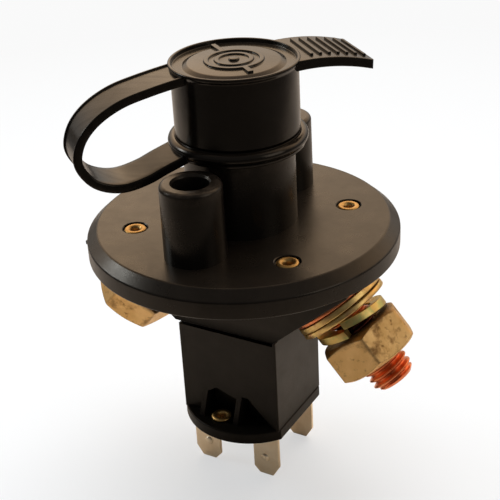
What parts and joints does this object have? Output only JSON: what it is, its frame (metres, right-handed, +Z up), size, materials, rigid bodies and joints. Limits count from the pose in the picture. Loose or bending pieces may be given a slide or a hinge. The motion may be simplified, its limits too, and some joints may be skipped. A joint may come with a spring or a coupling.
{
  "type": "battery isolator switch",
  "caption": "Round flanged isolator switch with a capped key neck, two mounting pillars, slanted copper studs with nuts and washers, and push-on blades below a boxy casing.",
  "frame": {"origin": "centre of the base plate's flat underside, on the neck's axis", "axes": "+Z up the neck, square to the flange; +X the horizontal direction of the right-hand stud; the two pillars stand on +Y and -Y"},
  "size_m": [0.0747, 0.065, 0.093],
  "materials": {
    "thermoplastic": "black moulded thermoplastic with a brownish sheen",
    "cap_rubber": "black flexible rubber, satin",
    "seal_rubber": "dull black",
    "pale_acetal": "natural acetal, slightly waxy",
    "rivet_brass": "bright rolled brass",
    "nut_brass": "dull cast-looking brass with stains",
    "copper": "bare red copper",
    "yellow_zinc": "steel, yellow passivated zinc",
    "green_zinc": "spring steel, yellow-green passivated zinc",
    "blade_metal": "pale nickel-toned brass strip",
    "spring_steel": "bright spring wire"
  },
  "bodies": {
    "housing": {"cover_moulding": "thermoplastic", "body_moulding": "thermoplastic", "lower_casing": "thermoplastic", "base_plate": "thermoplastic", "flange_rivet_front_right": "rivet_brass", "flange_rivet_rear_right": "rivet_brass", "flange_rivet_rear_left": "rivet_brass", "flange_rivet_front_left": "rivet_brass", "base_rivet_front": "rivet_brass", "base_rivet_rear": "rivet_brass", "stud_right": "copper", "stud_left": "copper", "copper_washer_right": "copper", "copper_washer_left": "copper", "inner_washer_right": "yellow_zinc", "inner_washer_left": "yellow_zinc", "blade_front_right": "blade_metal", "blade_front_left": "blade_metal", "blade_rear_right": "blade_metal", "blade_rear_left": "blade_metal"},
    "plunger_group": {"plunger": "pale_acetal", "plunger_seal": "seal_rubber", "contact_bridge": "copper", "bridge_clip": "spring_steel", "overtravel_spring": "spring_steel", "return_spring": "spring_steel", "auxiliary_carrier": "pale_acetal", "make_contact_bar": "copper", "break_contact_bar": "copper"},
    "tether": {"tether_ring": "cap_rubber", "strap": "cap_rubber"},
    "cap": {"weather_cap": "cap_rubber"},
    "washers_right": {"outer_washer_right": "yellow_zinc", "spring_washer_right": "green_zinc"},
    "washers_left": {"outer_washer_left": "yellow_zinc", "spring_washer_left": "green_zinc"},
    "nut_right": {"nut_right": "nut_brass"},
    "nut_left": {"nut_left": "nut_brass"}
  },
  "joints": [
    {"name": "plunger_travel", "type": "slide", "parent": "housing", "child": "plunger_group", "axis": [0, 0, -1], "range_m": [0, 0.005], "stiffness_N_per_m": 1500, "springref_m": -0.005, "deforming": ["return_spring"]},
    {"name": "ring_swivel", "type": "hinge", "parent": "housing", "child": "tether", "pos_m": [0, 0, 0.0655], "axis": [0, 0, 1], "range_deg": [-95, 3]},
    {"name": "cap_lift", "type": "slide", "parent": "tether", "child": "cap", "axis": [0, 0, 1], "range_m": [0, 0.024]},
    {"name": "nut_and_washers_slide_right", "type": "slide", "parent": "housing", "child": "washers_right", "axis": [0.6568, 0, -0.754], "range_m": [0, 0.006]},
    {"name": "nut_turn_right", "type": "hinge", "parent": "washers_right", "child": "nut_right", "pos_m": [0.02581, 0, 0.02702], "axis": [0.6568, 0, -0.754], "range_deg": [0, 1446]},
    {"name": "nut_and_washers_slide_left", "type": "slide", "parent": "housing", "child": "washers_left", "axis": [-0.6568, 0, -0.754], "range_m": [0, 0.006]},
    {"name": "nut_turn_left", "type": "hinge", "parent": "washers_left", "child": "nut_left", "pos_m": [-0.02519, 0, 0.02773], "axis": [-0.6568, 0, -0.754], "range_deg": [0, 1446]}
  ],
  "couplings": [
    {"joint": "nut_turn_right", "follows": "nut_and_washers_slide_right", "rad_per_m": 4188.8},
    {"joint": "nut_turn_left", "follows": "nut_and_washers_slide_left", "rad_per_m": 4188.8}
  ]
}
